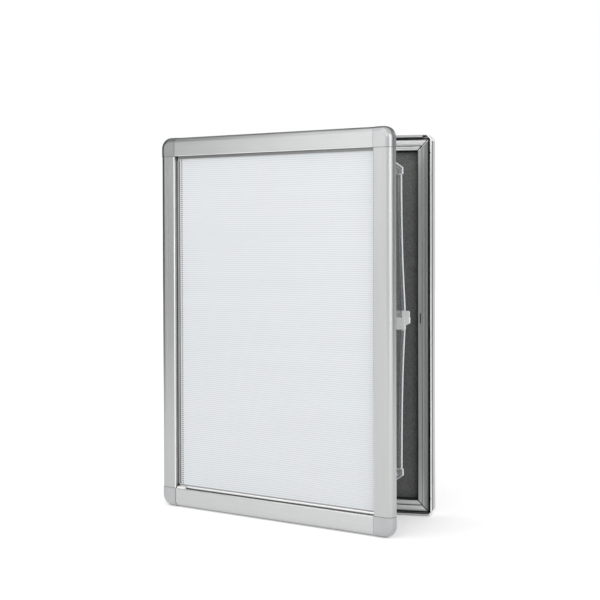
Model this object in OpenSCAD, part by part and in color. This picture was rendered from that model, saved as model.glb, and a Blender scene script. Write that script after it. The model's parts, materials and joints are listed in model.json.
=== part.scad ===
// Hinged-door poster case, standing on its bottom edge with the door ajar.
// X runs across the case, the front faces -Y, Z is up, and the origin is on
// the underside of the case at its mid width and mid depth.
// Sections are drawn as [s, d]: s inward from an outer edge, d back from the front.

/* [Poster] */
// Width of the sheet that the case holds
sheet_w = 297; // [210:1:420]
// Height of the sheet that the case holds
sheet_h = 420; // [297:1:594]

/* [Door frame] */
// Width of the door frame seen from the front
door_face_w = 24; // [21:0.5:30]
// Depth of the door frame
door_t = 12; // [11.5:0.5:15]
// Radius that rounds the outer front edge of the door
door_edge_r = 8; // [5:0.5:9]
// Radius on the inner front edge of the door
door_inner_r = 1; // [0.4:0.1:1.2]
// Plan radius of the door's corner pieces
door_corner_r = 14; // [10:0.5:16]
// How far the corner pieces stand proud of the profiles
corner_proud = 0.3; // [0.1:0.1:0.6]
// Wall of the door profile
door_wall = 1.5; // [1:0.1:2]
// Depth of the reveal from the door's face to the glazing lip
reveal_d = 5.8; // [4:0.1:6.5]
// Width of the glazing lip
lip_w = 3.4; // [2:0.1:5]
// Thickness of the glazing lip
lip_t = 1.2; // [0.8:0.1:1.6]
// Height of the shadow groove beside the lip
shadow_groove_w = 0.8; // [0.4:0.1:1.2]
// Length cut off each lip end, so the lips stay apart in the corners
lip_notch = 2.4; // [0.5:0.1:3]

/* [Door glazing] */
// Thickness of the fluted panel
panel_t = 3; // [2:0.5:4]
// Gap between the panel and the frame on each side
panel_gap = 1; // [0.5:0.1:1.5]
// Distance from one flute web to the next
flute_pitch = 2.5; // [2:0.5:5]
// Thickness of the panel's front and back skins
skin_t = 0.4; // [0.3:0.05:0.6]
// Thickness of a flute web
web_t = 0.4; // [0.3:0.05:0.6]
// Length of the white wedge in the lower left corner
wedge_l = 13; // [8:1:20]
// Height of the white wedge
wedge_h = 2.4; // [1.5:0.1:3.5]

/* [Case] */
// How far the door overhangs the case at the left, the right and the top
door_overhang = 2; // [1:0.5:4]
// Depth of the case
case_d = 20; // [19:0.5:26]
// Width of the case frame seen from the front
case_face_w = 18.3; // [17.5:0.1:22]
// Width of the rim round the outside of the case front
rim_w = 2.7; // [2:0.1:3]
// Width of the gutter behind the rim
gutter_w = 1.2; // [0.8:0.1:2]
// Depth of the gutter
gutter_d = 5; // [4:0.1:5.5]
// Radius of the shoulder that rises from the gutter
shoulder_r = 6; // [5:0.5:9]
// Width of the shoulder from the gutter to the flat face
shoulder_w = 4.5; // [3:0.1:4.8]
// Depth of the flat face behind the rim
face_d = 2; // [1.6:0.1:2.3]
// Width of the flat face
face_w = 4.2; // [3:0.1:4.7]
// Width of the groove between the flat face and the inner band
step_w = 0.7; // [0.4:0.1:1]
// Depth of that groove behind the rim
step_d = 4.5; // [4:0.1:5]
// Depth of the inner band behind the rim
band_d = 3.6; // [3.2:0.1:4.5]
// Chamfer on the case's outer corners
case_chamfer = 5.5; // [3:0.5:7]
// Joint line left between two mitred profiles
mitre_gap = 0.9; // [0.2:0.1:1.2]
// Width of the keys' noses, which close the rim along the corner chamfers
nose_w = 1.5; // [1:0.1:2.5]
// Length of the rim cut away beside the two upper corners
rim_cut_l = 4.5; // [3:0.5:12]
// Gap between the closed door and the case rim
closing_gap = 0.6; // [0.4:0.1:1.5]
// Thickness of the flange behind the back panel
flange_t = 1.9; // [1.5:0.1:3]
// Thickness of the felt board
felt_t = 5; // [3:0.5:6]
// Thickness of the gasket that presses on the felt
gasket_t = 1.2; // [0.8:0.1:1.6]
// Width of the gasket seen inside the case frame
gasket_show = 1.9; // [1:0.1:2.5]
// Thickness of the back panel
back_t = 2; // [1:0.5:2]
// Diameter of the four wall screw holes
wall_hole_dia = 5; // [4:0.5:8]
// Spacing of the wall screw holes across the case
wall_holes_x = 200; // [120:10:220]
// Spacing of the wall screw holes up the case
wall_holes_z = 330; // [200:10:380]

/* [Latch slot] */
// Height of the slot that takes the cover's latch hook
slot_h = 13; // [11.5:0.5:18]
// Width of the slot
slot_w = 1.7; // [1.6:0.1:2.4]
// Distance from the case's outer edge to the slot's middle
slot_s = 15.5; // [15:0.1:16]
// Height of the slot's middle over the floor
slot_z = 243; // [180:1:300]

/* [Door hinges] */
// Length of each hinge
hinge_l = 44; // [30:1:60]
// Outer radius of the hinge knuckles
knuckle_r = 2.4; // [2.2:0.1:3]
// Radius of the hinge pin
pin_r = 1.2; // [0.8:0.1:1.4]
// Radial running clearance of the pin in the door's knuckle
pin_fit = 0.05; // [0.03:0.01:0.1]
// Thickness of the hinge leaves
leaf_t = 1.2; // [1:0.1:1.4]
// Gap between neighbouring knuckles
knuckle_gap = 0.4; // [0.3:0.1:0.8]
// Distance from the top or bottom of the case to the middle of a hinge
hinge_inset = 78; // [50:1:120]
// Angle of the door as it stands
door_rest = 20.4; // [12:0.1:40]

/* [Inner cover] */
// Thickness of the clear cover sheet
cover_t = 1; // [0.8:0.1:1.2]
// Height of the cover sheet
cover_h = 370; // [300:1:390]
// Height of the sheet's lower edge over the floor
cover_z = 58; // [40:1:64]
// Radius of the cover's hinge pins
cover_pin_r = 1; // [0.8:0.1:1.1]
// Angle of the cover as it stands
cover_rest = 10.2; // [8:0.1:20]
// Width of the clear strip on the cover's free edge
edge_strip_w = 4; // [3:0.5:6]
// Height of the cover's corner clips
clip_h = 14; // [12:0.5:18]

/* [Fasteners] */
// Head radius of the small countersunk screws and rivets
screw_head_r = 2.2; // [1.8:0.1:2.4]
// Shank radius of the small countersunk screws and rivets
screw_r = 1.1; // [0.8:0.1:1.3]

/* [Hidden] */

// A gap that lets flat parts of one body seat without touching
seat = 0.1;
// Clearance of thin parts of one body that grip each other
grip = 0.05;
// Extra length that carries a cut past a surface
cut = 1;

// Overall sizes, worked out from the sheet
door_w = sheet_w + 2 * panel_gap + 2 * door_face_w;
door_h = sheet_h + 2 * panel_gap + 2 * door_face_w;
case_w = door_w - 2 * door_overhang;
case_h = door_h - door_overhang;
case_front = -case_d / 2;
door_back = case_front - closing_gap;
door_front = door_back - door_t;
door_left = -door_w / 2;

// Door section
lip_back = reveal_d + lip_t;
shadow_groove_d = 0.7;
panel_front = lip_back + seat;
panel_back = panel_front + panel_t;
seal_slot_d = panel_back + 0.5;
seal_slot_h = 0.8;
seal_slot_w = 1.6;
glazing_lip_w = 4.3;
back_edge_s = door_face_w - door_wall;
core_s = back_edge_s - seal_slot_w - door_wall;
core_d = door_t - door_wall;
spigot_l = 18;
spigot_fit = 0.15;

// Case section
chamber_wall = 1.1;
gutter_end_s = rim_w + gutter_w;
shoulder_end_s = gutter_end_s + shoulder_w;
face_end_s = shoulder_end_s + face_w;
step_end_s = face_end_s + step_w;
flange_w = 6.2;
board_s = case_face_w - flange_w;
flange_d = case_d - flange_t;
felt_d = flange_d - seat - back_t - felt_t;
gasket_d = felt_d - grip - gasket_t;
rebate_d = gasket_d - grip;
case_wall = 1.6;
mitre_reach = 2 * case_face_w;
key_s = board_s - case_wall;
key_d = gutter_d + case_wall;
key_arm = 36;
key_fit = 0.15;
nose_fit = 0.1;
nose_leg = case_chamfer + nose_w * sqrt(2);
rim_edge_w = 0.6;
rim_break = 0.4;
jig_hole_r = 0.9;
jig_hole_s = (step_end_s + case_face_w) / 2;
board_fit = 0.3;
board_w = case_w - 2 * (board_s + board_fit);
board_h = case_h - 2 * (board_s + board_fit);
crimp_r = 0.8;
crimp_places = [[rim_w, 22], [rim_w + crimp_r, 8]];

// Door hinge: the axis stands beside the case and behind the door
hinge_x = -case_w / 2 - knuckle_r - seat;
hinge_y = door_back + 0.3 + knuckle_r;
leaf_len_case = 14;
leaf_len_door = 15;
knuckle_l = (hinge_l - 2 * knuckle_gap) / 3;
hinge_zs = [case_h - hinge_inset, hinge_inset];
pin_head_r = 1.9;
pin_head_h = 1;
rivet_offset = 12;
rivet_edge = 5;
rivet_l = 3.2;
rivet_sink = 0.05;

// Inner cover: u runs from its hinge axis to its free edge, d back from the case rim
cover_hinge_gap = 3.2;
cover_x = -case_w / 2 + case_face_w + cover_hinge_gap;
cover_d = 2.2;
cover_y = case_front + cover_d;
cover_top = cover_z + cover_h;
slot_x = case_w / 2 - slot_s;
cover_side_gap = 0.7;
strip_t = 2.2;
strip_wall = 1.9;
strip_end_u = case_w / 2 - case_face_w - cover_x - cover_side_gap;
cover_u = strip_end_u - strip_wall;
strip_gap = 0.3;
hinge_strip_r = 1.6;
hinge_strip_w = 6;
hinge_strip_inset = 2;
bracket_h = 12;
bracket_gap = 0.5;
pin_reach = 8;
pin_l = hinge_strip_inset + bracket_gap + pin_reach;
clip_w = 12;
clip_proud = 1.5;
clip_lap = 4;
clip_extra_t = 0.2;
clip_bevel = [9, 6];
sheet_bevel = [4, 3];
clip_hole_r = 1;
clip_hole_u = strip_end_u - clip_w / 2;
clip_hole_z = cover_z + 3.2;

// Latch: heights below and above the slot's middle, lengths past the cover's edge
latch_w = 12;
plate_t = 0.8;
latch_below = 10;
latch_above = 12.5;
plate_above = 4.5;
tab_below = 5;
hook_below = 2.5;
plate_z = [slot_z - latch_below, slot_z + plate_above];
tongue_z = [slot_z - latch_below, slot_z + latch_above];
tab_z = [slot_z - tab_below, slot_z + latch_above];
tab_l = 5;
tab_round = 1.4;
tab_lap = 1;
tab_slant = 2.5;
hook_u = slot_x - cover_x;
hook_t = 1;
hook_z = [slot_z - hook_below, slot_z + plate_above];
hook_reach = 4.5;
back_plate_t = 1.4;
back_plate_gap = 1.6;

silver = [0.78, 0.79, 0.79];
corner_grey = [0.66, 0.67, 0.67];
steel = [0.6, 0.61, 0.63];
black = [0.06, 0.06, 0.06];
felt_grey = [0.29, 0.3, 0.31];
panel_white = [0.93, 0.94, 0.96];
clear = [0.86, 0.89, 0.92, 0.5];
white = [0.95, 0.95, 0.94];

// Placing

// Turns the closed door to the angle at which it stands
module on_door() {
    translate([hinge_x, hinge_y, 0]) rotate([0, 0, -door_rest])
        translate([-hinge_x, -hinge_y, 0]) children();
}

// Turns the cover, drawn as [u, depth, z] from its axis, to the angle at which it stands
module on_cover() {
    translate([cover_x, cover_y, 0]) rotate([0, 0, -cover_rest])
        translate([0, -cover_d, 0]) children();
}

// Stands a [s, d] section up along Z with s along +X and d along +Y
module upright(l) {
    linear_extrude(l) children();
}

// A box from one corner to the opposite one
module box(a, b) {
    translate(a) cube(b - a);
}

// A countersunk fastener pointing along +Y from a face at y = 0
module countersunk(l) {
    rotate([-90, 0, 0]) {
        cylinder(h = screw_head_r - screw_r, r1 = screw_head_r, r2 = screw_r, $fn = 32);
        cylinder(h = l, r = screw_r, $fn = 32);
    }
}

// The hole for such a fastener
module countersink(l) {
    rotate([-90, 0, 0]) {
        translate([0, 0, -cut]) cylinder(h = cut + seat, r = screw_head_r + seat, $fn = 32);
        cylinder(h = screw_head_r - screw_r + seat, r1 = screw_head_r + seat, r2 = screw_r + seat,
            $fn = 32);
        cylinder(h = l, r = screw_r + seat, $fn = 32);
    }
}

// Door frame

// Outline of the door section up to s = w, with its outer front edge rounded
module door_outline(w, e = 0) {
    difference() {
        translate([e, e]) square([w - e, door_t - e]);
        difference() {
            translate([e - cut, e - cut]) square(door_edge_r + cut);
            translate([e + door_edge_r, e + door_edge_r]) circle(door_edge_r, $fn = 96);
        }
    }
}

// Room inside the door profile, drawn in by c for the spigots that fill it
module door_core(c = 0) {
    r = door_edge_r - door_wall;
    difference() {
        translate([door_wall + c, door_wall + c])
            square([core_s - door_wall - 2 * c, core_d - door_wall - 2 * c]);
        difference() {
            translate([door_wall + c - cut, door_wall + c - cut]) square(r + cut);
            translate([door_wall + c + r, door_wall + c + r]) circle(r, $fn = 64);
        }
    }
}

// Section of a door profile: rounded face, reveal, shadow groove, lip, panel rebate and seal slot
module door_section() {
    difference() {
        union() {
            door_outline(back_edge_s, corner_proud);
            translate([back_edge_s - cut, corner_proud])
                square([door_wall + cut, panel_back + seat - corner_proud]);
            translate([back_edge_s, reveal_d]) square([door_wall + lip_w, lip_t]);
        }
        difference() {
            translate([door_face_w - door_inner_r, corner_proud - cut]) square(door_inner_r + cut);
            translate([door_face_w - door_inner_r, corner_proud + door_inner_r])
                circle(door_inner_r, $fn = 48);
        }
        translate([door_face_w - shadow_groove_d, reveal_d - shadow_groove_w])
            square([shadow_groove_d + cut, shadow_groove_w]);
        translate([back_edge_s - seal_slot_w, seal_slot_d]) square([seal_slot_w + cut, seal_slot_h]);
        door_core();
    }
}

// A door profile standing at x = 0 with its lip towards +X, its lip cut back at both ends
module door_upright(l) {
    difference() {
        upright(l) door_section();
        for (z = [-cut, l - lip_w - lip_notch])
            translate([door_face_w, reveal_d - seat, z])
                cube([lip_w + cut, lip_t + 2 * seat, lip_w + lip_notch + cut]);
    }
}

// The four profiles, with z = 0 at the floor and x = 0 at the door's left edge
module door_frame_at(side) {
    run_w = door_w - 2 * door_face_w;
    run_h = door_h - 2 * door_face_w;
    translate([door_left, door_front, 0]) {
        if (side == "left") translate([0, 0, door_face_w]) door_upright(run_h);
        if (side == "right")
            translate([door_w, 0, door_face_w]) mirror([1, 0, 0]) door_upright(run_h);
        if (side == "bottom") translate([door_face_w, 0, 0]) door_level(run_w);
        if (side == "top")
            translate([door_face_w, 0, door_h]) mirror([0, 0, 1]) door_level(run_w);
    }
}

// A door profile lying along X at z = 0 with its lip towards +Z
module door_level(l) {
    difference() {
        rotate([0, 90, 0]) mirror([1, 0, 0]) upright(l) door_section();
        for (x = [-cut, l - lip_notch])
            translate([x, reveal_d - seat, door_face_w])
                cube([lip_notch + cut, lip_t + 2 * seat, lip_w + cut]);
    }
}

// Places of the eight corner screws, as [x, z] on the closed door's back
corner_screw_s = (door_wall + core_s) / 2;
corner_screw_l = door_face_w + spigot_l / 2;
corner_screw_h = 6;
function mirrored(v, size, far) = far ? size - v : v;
corner_screw_places = [for (fx = [false, true], fz = [false, true], lie = [false, true])
    [mirrored(lie ? corner_screw_l : corner_screw_s, door_w, fx),
     mirrored(lie ? corner_screw_s : corner_screw_l, door_h, fz)]];

module door_screw_cuts() {
    for (p = corner_screw_places)
        translate([door_left + p[0], door_back, p[1]]) mirror([0, 1, 0]) countersink(corner_screw_h + cut);
}

module door_top_profile() {
    color(silver) on_door() difference() {
        door_frame_at("top");
        door_screw_cuts();
    }
}

module door_bottom_profile() {
    color(silver) on_door() difference() {
        door_frame_at("bottom");
        door_screw_cuts();
    }
}

module door_left_profile() {
    color(silver) on_door() difference() {
        door_frame_at("left");
        door_screw_cuts();
        for (z = hinge_zs) {
            box([door_left - cut, door_back - leaf_t - seat, z - hinge_l / 2 - seat],
                [door_left + leaf_len_door + seat, door_back + cut, z + hinge_l / 2 + seat]);
            for (o = [-rivet_offset, 0, rivet_offset])
                translate([door_left + leaf_len_door - rivet_edge, door_back, z + o]) rivet_bore();
        }
    }
}

module door_right_profile() {
    color(silver) on_door() difference() {
        door_frame_at("right");
        door_screw_cuts();
    }
}

// A straight hole through the door profile's back wall for a rivet
module rivet_bore() {
    rotate([90, 0, 0]) translate([0, 0, -cut])
        cylinder(h = rivet_l + cut + seat, r = screw_r + seat, $fn = 32);
}

// A corner piece at the door's lower left: two rounded edges that turn round a plan radius
module door_corner() {
    difference() {
        union() {
            translate([door_corner_r, 0, door_corner_r]) rotate([-90, 0, 0]) corner_turn();
            translate([door_corner_r, 0, 0]) rotate([0, 90, 0]) mirror([1, 0, 0])
                upright(door_face_w - door_corner_r) door_outline(door_corner_r);
            translate([0, 0, door_corner_r])
                upright(door_face_w - door_corner_r) door_outline(door_corner_r);
            box([door_corner_r, 0, door_corner_r], [door_face_w, door_t, door_face_w]);
        }
        box([door_face_w - 1, reveal_d - shadow_groove_w, door_face_w - 1],
            [door_face_w + cut, reveal_d, door_face_w + cut]);
    }
    translate([0, 0, door_face_w - seat]) upright(spigot_l + seat) door_core(spigot_fit);
    translate([door_face_w - seat, 0, 0]) rotate([0, 90, 0]) mirror([1, 0, 0])
        upright(spigot_l + seat) door_core(spigot_fit);
}

// Quarter turn of the door outline round the plan radius, front face at z = 0
module corner_turn() {
    rotate([0, 0, 90]) rotate_extrude(angle = 90, $fn = 96) difference() {
        square([door_corner_r, door_t]);
        difference() {
            translate([door_corner_r - door_edge_r, -cut]) square(door_edge_r + cut);
            translate([door_corner_r - door_edge_r, door_edge_r]) circle(door_edge_r, $fn = 96);
        }
    }
}

module corner_at(fx, fz) {
    color(corner_grey) on_door() difference() {
        translate([fx ? door_left + door_w : door_left, door_front, fz ? door_h : 0])
            mirror([fx ? 1 : 0, 0, 0]) mirror([0, 0, fz ? 1 : 0]) door_corner();
        door_screw_cuts();
    }
}

module door_corner_top_left() { corner_at(false, true); }
module door_corner_top_right() { corner_at(true, true); }
module door_corner_bottom_left() { corner_at(false, false); }
module door_corner_bottom_right() { corner_at(true, false); }

module door_corner_screws() {
    color(steel) on_door() for (p = corner_screw_places)
        translate([door_left + p[0], door_back - seat, p[1]]) mirror([0, 1, 0])
            countersunk(corner_screw_h);
}

// Door glazing

panel_w = sheet_w;
panel_h = sheet_h;
panel_x = door_left + door_face_w + panel_gap;
panel_y = door_front + panel_front;
panel_z = door_face_w + panel_gap;
flutes = floor(panel_h / flute_pitch);

// Twin-wall panel: two skins joined by webs, with open flutes that run across the door
module fluted_panel() {
    flute_h = flute_pitch - web_t;
    first = (panel_h - flutes * flute_pitch) / 2 + web_t / 2;
    color(panel_white) on_door() translate([panel_x, panel_y, panel_z])
        rotate([90, 0, 90]) linear_extrude(panel_w) difference() {
            square([panel_t, panel_h]);
            for (i = [0 : flutes - 1])
                translate([skin_t, first + i * flute_pitch]) square([panel_t - 2 * skin_t, flute_h]);
        }
}

// A ring between two insets from the edges of a w by h frame, from depth d0 to d1
module ring(w, h, s0, s1, d0, d1) {
    translate([0, d1, 0]) rotate([90, 0, 0]) linear_extrude(d1 - d0) difference() {
        translate([s0, s0]) square([w - 2 * s0, h - 2 * s0]);
        translate([s1, s1]) square([w - 2 * s1, h - 2 * s1]);
    }
}

// Seal with a root in the profiles' slot and a flat lip behind the panel
module glazing_seal() {
    color(black) on_door() translate([door_left, door_front, 0]) {
        ring(door_w, door_h, back_edge_s - seal_slot_w + seat, back_edge_s + glazing_lip_w,
            seal_slot_d + seat, seal_slot_d + seal_slot_h - seat);
        ring(door_w, door_h, back_edge_s + seat, back_edge_s + glazing_lip_w,
            panel_back + seat, door_t - seat);
    }
}

// One side of a w by h frame: the section is drawn as [s, d] and cut along both mitres
module frame_side(w, h, gap, side) {
    l = side == "left" || side == "right" ? h : w;
    place_side(w, h, side) intersection() {
        upright(l) children();
        mitre_wedge(l, gap);
    }
}

// Carries the lower left upright to the other sides
module place_side(w, h, side) {
    if (side == "left") children();
    if (side == "right") translate([w, 0, 0]) mirror([1, 0, 0]) children();
    if (side == "bottom") rotate([0, 90, 0]) mirror([1, 0, 0]) children();
    if (side == "top")
        translate([0, 0, h]) mirror([0, 0, 1]) rotate([0, 90, 0]) mirror([1, 0, 0]) children();
}

// Prism that keeps the part of an upright between its two mitres
module mitre_wedge(l, gap) {
    g = gap * sqrt(0.5);
    translate([0, case_d + cut, 0]) rotate([90, 0, 0]) linear_extrude(case_d + 2 * cut)
        polygon([[-g, 0], [mitre_reach, mitre_reach + g], [mitre_reach, l - mitre_reach - g], [-g, l]]);
}

// White wedge strip lying on the lower reveal in the left corner
wedge_inset = 1.2;
wedge_d = 1.4;
wedge_w = 3.6;
wedge_nose = [0.8, 0.6];
module panel_wedge() {
    color(white) on_door()
        translate([door_left + door_face_w + wedge_inset, door_front + wedge_d, door_face_w + seat])
            rotate([90, 0, 90]) linear_extrude(wedge_l)
                polygon([[0, 0], [wedge_w, 0], [wedge_w, wedge_h],
                    [wedge_nose[0], wedge_h - wedge_nose[1]]]);
}

// Case frame

// Section of a case profile: rim, gutter, shoulder, face, groove, band, rebate and flange
module case_section() {
    inner_w = case_face_w - step_end_s - 2 * chamber_wall;
    difference() {
        polygon([[0, rim_break], [rim_break, 0], [rim_w, 0], [rim_w, gutter_d], [gutter_end_s, gutter_d],
            [gutter_end_s, face_d], [face_end_s, face_d], [face_end_s, step_d], [step_end_s, step_d],
            [step_end_s, band_d], [case_face_w, band_d], [case_face_w, rebate_d], [board_s, rebate_d],
            [board_s, flange_d], [case_face_w, flange_d], [case_face_w, case_d], [0, case_d]]);
        difference() {
            translate([gutter_end_s - seat, face_d - cut])
                square([shoulder_w + seat, gutter_d - face_d + cut]);
            translate([shoulder_end_s, face_d + shoulder_r]) circle(shoulder_r, $fn = 96);
        }
        translate([case_wall, key_d]) square([key_s - case_wall, case_d - case_wall - key_d]);
        translate([shoulder_end_s, face_d + chamber_wall])
            square([face_w - chamber_wall, key_d - face_d - 2 * chamber_wall]);
        translate([step_end_s + chamber_wall, band_d + chamber_wall])
            square([inner_w, rebate_d - band_d - 2 * chamber_wall]);
    }
}

// Prisms at the case's four corners, each cut off by a 45 degree line with this leg
module case_corner_cuts(leg) {
    for (fx = [0, 1], fz = [0, 1])
        translate([fx * case_w, 0, fz * case_h]) mirror([fx, 0, 0]) mirror([0, 0, fz])
            translate([0, case_d + cut, 0]) rotate([90, 0, 0]) linear_extrude(case_d + 2 * cut)
                polygon([[-cut, -cut], [leg + cut, -cut], [-cut, leg + cut]]);
}

module case_side(side) {
    translate([-case_w / 2, case_front, 0]) difference() {
        frame_side(case_w, case_h, mitre_gap, side) case_section();
        case_corner_cuts(nose_leg + nose_fit);
    }
}

module case_top_profile() {
    color(silver) difference() {
        case_side("top");
        for (x = [-case_w / 2, case_w / 2 - nose_leg - rim_cut_l])
            box([x, case_front - cut, case_h - rim_w - seat],
                [x + nose_leg + rim_cut_l, case_front + key_d + seat, case_h - rim_edge_w]);
        jig_holes();
    }
}

// Small holes through the band in the two upper mitres
module jig_holes() {
    for (sx = [-1, 1])
        translate([sx * (case_w / 2 - jig_hole_s), case_front - cut, case_h - jig_hole_s])
            rotate([-90, 0, 0]) cylinder(h = band_d + chamber_wall + 2 * cut, r = jig_hole_r, $fn = 24);
}

module case_bottom_profile() {
    color(silver) case_side("bottom");
}

module case_left_profile() {
    color(silver) difference() {
        case_side("left");
        crimp_holes(-1);
        jig_holes();
        for (z = hinge_zs, o = [-rivet_offset, 0, rivet_offset])
            translate([-case_w / 2 - cut, case_rivet_y, z + o]) rotate([0, 90, 0])
                cylinder(h = case_wall + 2 * cut, r = screw_r + seat, $fn = 32);
        for (z = bracket_screw_zs)
            translate([bracket_screw_x, case_front + band_d - cut, z]) rotate([-90, 0, 0])
                cylinder(h = chamber_wall + 2 * cut, r = screw_r + seat, $fn = 32);
    }
}

module case_right_profile() {
    color(silver) difference() {
        case_side("right");
        crimp_holes(1);
        jig_holes();
        latch_slot();
    }
}

// Small marks punched in the gutter where the corner keys are staked
module crimp_holes(sx) {
    for (p = crimp_places, z = [p[1], case_h - p[1]])
        translate([sx * (case_w / 2 - p[0]), case_front - cut, z]) rotate([-90, 0, 0])
            cylinder(h = gutter_d + case_wall + cut + seat, r = crimp_r, $fn = 24);
}

// Round-ended slot in the inner band
module latch_slot() {
    r = slot_w / 2;
    reach = band_d + chamber_wall + cut;
    translate([slot_x, case_front - seat, slot_z]) {
        box([-r, 0, r - slot_h / 2], [r, reach, slot_h / 2 - r]);
        for (z = [r - slot_h / 2, slot_h / 2 - r])
            translate([0, 0, z]) rotate([-90, 0, 0]) cylinder(h = reach, r = r, $fn = 32);
    }
}

// A key in each corner: an L in the outer chamber of both profiles, and a nose at the chamfer
module case_corner_keys() {
    w = key_s - case_wall - 2 * key_fit;
    t = case_d - case_wall - key_d - 2 * key_fit;
    o = case_wall + key_fit;
    color(silver) for (fx = [0, 1], fz = [0, 1])
        translate([fx ? case_w / 2 : -case_w / 2, case_front, fz ? case_h : 0])
            mirror([fx, 0, 0]) mirror([0, 0, fz]) {
                difference() {
                    translate([0, key_d + key_fit, 0]) {
                        box([o, 0, o], [o + key_arm, t, o + w]);
                        box([o, 0, o], [o + w, t, o + key_arm]);
                    }
                    key_prism([[0, 0], [case_chamfer + seat, 0], [0, case_chamfer + seat]]);
                }
                key_prism([[case_chamfer, 0], [nose_leg, 0], [0, nose_leg], [0, case_chamfer]]);
            }
}

// An outline drawn as [x, z] from a corner of the case, extruded over the case's depth
module key_prism(outline) {
    translate([0, case_d, 0]) rotate([90, 0, 0]) linear_extrude(case_d) polygon(outline);
}

module back_panel() {
    color(silver) difference() {
        translate([-board_w / 2, case_front + felt_d + felt_t, board_s + board_fit])
            cube([board_w, back_t, board_h]);
        wall_holes();
    }
}

module felt_board() {
    color(felt_grey) difference() {
        translate([-board_w / 2, case_front + felt_d, board_s + board_fit])
            cube([board_w, felt_t, board_h]);
        wall_holes();
    }
}

module wall_holes() {
    for (sx = [-1, 1], sz = [-1, 1])
        translate([sx * wall_holes_x / 2, 0, case_h / 2 + sz * wall_holes_z / 2]) rotate([-90, 0, 0])
            cylinder(h = case_d, r = wall_hole_dia / 2, $fn = 48);
}

// Flat black gasket on the felt, under the inner edge of the profiles
module felt_gasket() {
    color(black) translate([-case_w / 2, case_front, 0])
        ring(case_w, case_h, board_s + board_fit, case_face_w + gasket_show,
            gasket_d, gasket_d + gasket_t);
}

// Door hinges

case_rivet_y = hinge_y + leaf_len_case - rivet_edge;

// One knuckle round the axis between two heights, bored for the pin
module knuckle(z0, z1, bore_r) {
    difference() {
        translate([0, 0, z0]) cylinder(h = z1 - z0, r = knuckle_r, $fn = 48);
        translate([0, 0, z0 - cut]) cylinder(h = z1 - z0 + 2 * cut, r = bore_r, $fn = 48);
    }
}

// Leaf on the case's side wall, with the two outer knuckles
module case_leaf(z) {
    color(steel) translate([hinge_x, hinge_y, z]) {
        difference() {
            union() {
                translate([knuckle_r + seat - leaf_t, 0, -hinge_l / 2])
                    cube([leaf_t, leaf_len_case, hinge_l]);
                for (s = [-1, 1]) translate([0, 0, s * (knuckle_l + knuckle_gap)])
                    cylinder(h = knuckle_l, r = knuckle_r, center = true, $fn = 48);
            }
            translate([0, 0, -hinge_l / 2 - cut]) cylinder(h = hinge_l + 2 * cut, r = pin_r, $fn = 48);
            translate([-cut, -knuckle_r - cut, -knuckle_l / 2 - knuckle_gap])
                cube([knuckle_r + 2 * cut, 2 * knuckle_r + 2 * cut, knuckle_l + 2 * knuckle_gap]);
            for (o = [-rivet_offset, 0, rivet_offset])
                translate([knuckle_r + seat - leaf_t, leaf_len_case - rivet_edge, o]) rotate([0, 0, -90])
                    countersink(leaf_t + cut);
        }
    }
}

module upper_hinge_case_leaf() { case_leaf(hinge_zs[0]); }
module lower_hinge_case_leaf() { case_leaf(hinge_zs[1]); }

module case_hinge_rivets() {
    color(steel) for (z = hinge_zs, o = [-rivet_offset, 0, rivet_offset])
        translate([hinge_x + knuckle_r + seat - leaf_t + rivet_sink, case_rivet_y, z + o])
            rotate([0, 0, -90]) countersunk(rivet_l);
}

module hinge_pin(z) {
    color(steel) translate([hinge_x, hinge_y, z]) {
        cylinder(h = hinge_l, r = pin_r, center = true, $fn = 48);
        for (s = [0, 1]) mirror([0, 0, s]) translate([0, 0, hinge_l / 2])
            cylinder(h = pin_head_h, r = pin_head_r, $fn = 32);
    }
}

module upper_hinge_pin() { hinge_pin(hinge_zs[0]); }
module lower_hinge_pin() { hinge_pin(hinge_zs[1]); }

// Leaf let into the back of the door's left profile, with the middle knuckle
module door_leaf(z) {
    color(steel) on_door() difference() {
        union() {
            box([hinge_x - knuckle_r / 2, door_back - leaf_t, z - knuckle_l / 2],
                [hinge_x + knuckle_r, hinge_y, z + knuckle_l / 2]);
            box([door_left, door_back - leaf_t, z - hinge_l / 2],
                [door_left + leaf_len_door, door_back, z + hinge_l / 2]);
            translate([hinge_x, hinge_y, z])
                cylinder(h = knuckle_l, r = knuckle_r, center = true, $fn = 48);
        }
        translate([hinge_x, hinge_y, z])
            cylinder(h = knuckle_l + 2 * cut, r = pin_r + pin_fit, center = true, $fn = 48);
        for (o = [-rivet_offset, 0, rivet_offset])
            translate([door_left + leaf_len_door - rivet_edge, door_back, z + o]) mirror([0, 1, 0])
                countersink(leaf_t + cut);
    }
}

module upper_hinge_door_leaf() { door_leaf(hinge_zs[0]); }
module lower_hinge_door_leaf() { door_leaf(hinge_zs[1]); }

module door_hinge_rivets() {
    color(steel) on_door() for (z = hinge_zs, o = [-rivet_offset, 0, rivet_offset])
        translate([door_left + leaf_len_door - rivet_edge, door_back - rivet_sink, z + o])
            mirror([0, 1, 0]) countersunk(rivet_l);
}

// Inner cover

// Brackets on the left band that hold the cover's hinge pins
bracket_side_gap = 0.3;
bracket_nose = 3;
bracket_s = step_end_s + bracket_side_gap;
bracket_tip = case_face_w + cover_hinge_gap + bracket_nose;
bracket_front = 0.5;
bracket_seat = 0.02;
bracket_screw_l = 4.6;
bracket_zs = [cover_top + bracket_gap, cover_z - bracket_gap - bracket_h];
bracket_screw_x = -case_w / 2 + (bracket_s + case_face_w) / 2;
bracket_screw_zs = [for (z = bracket_zs) z + bracket_h / 2];

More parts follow.
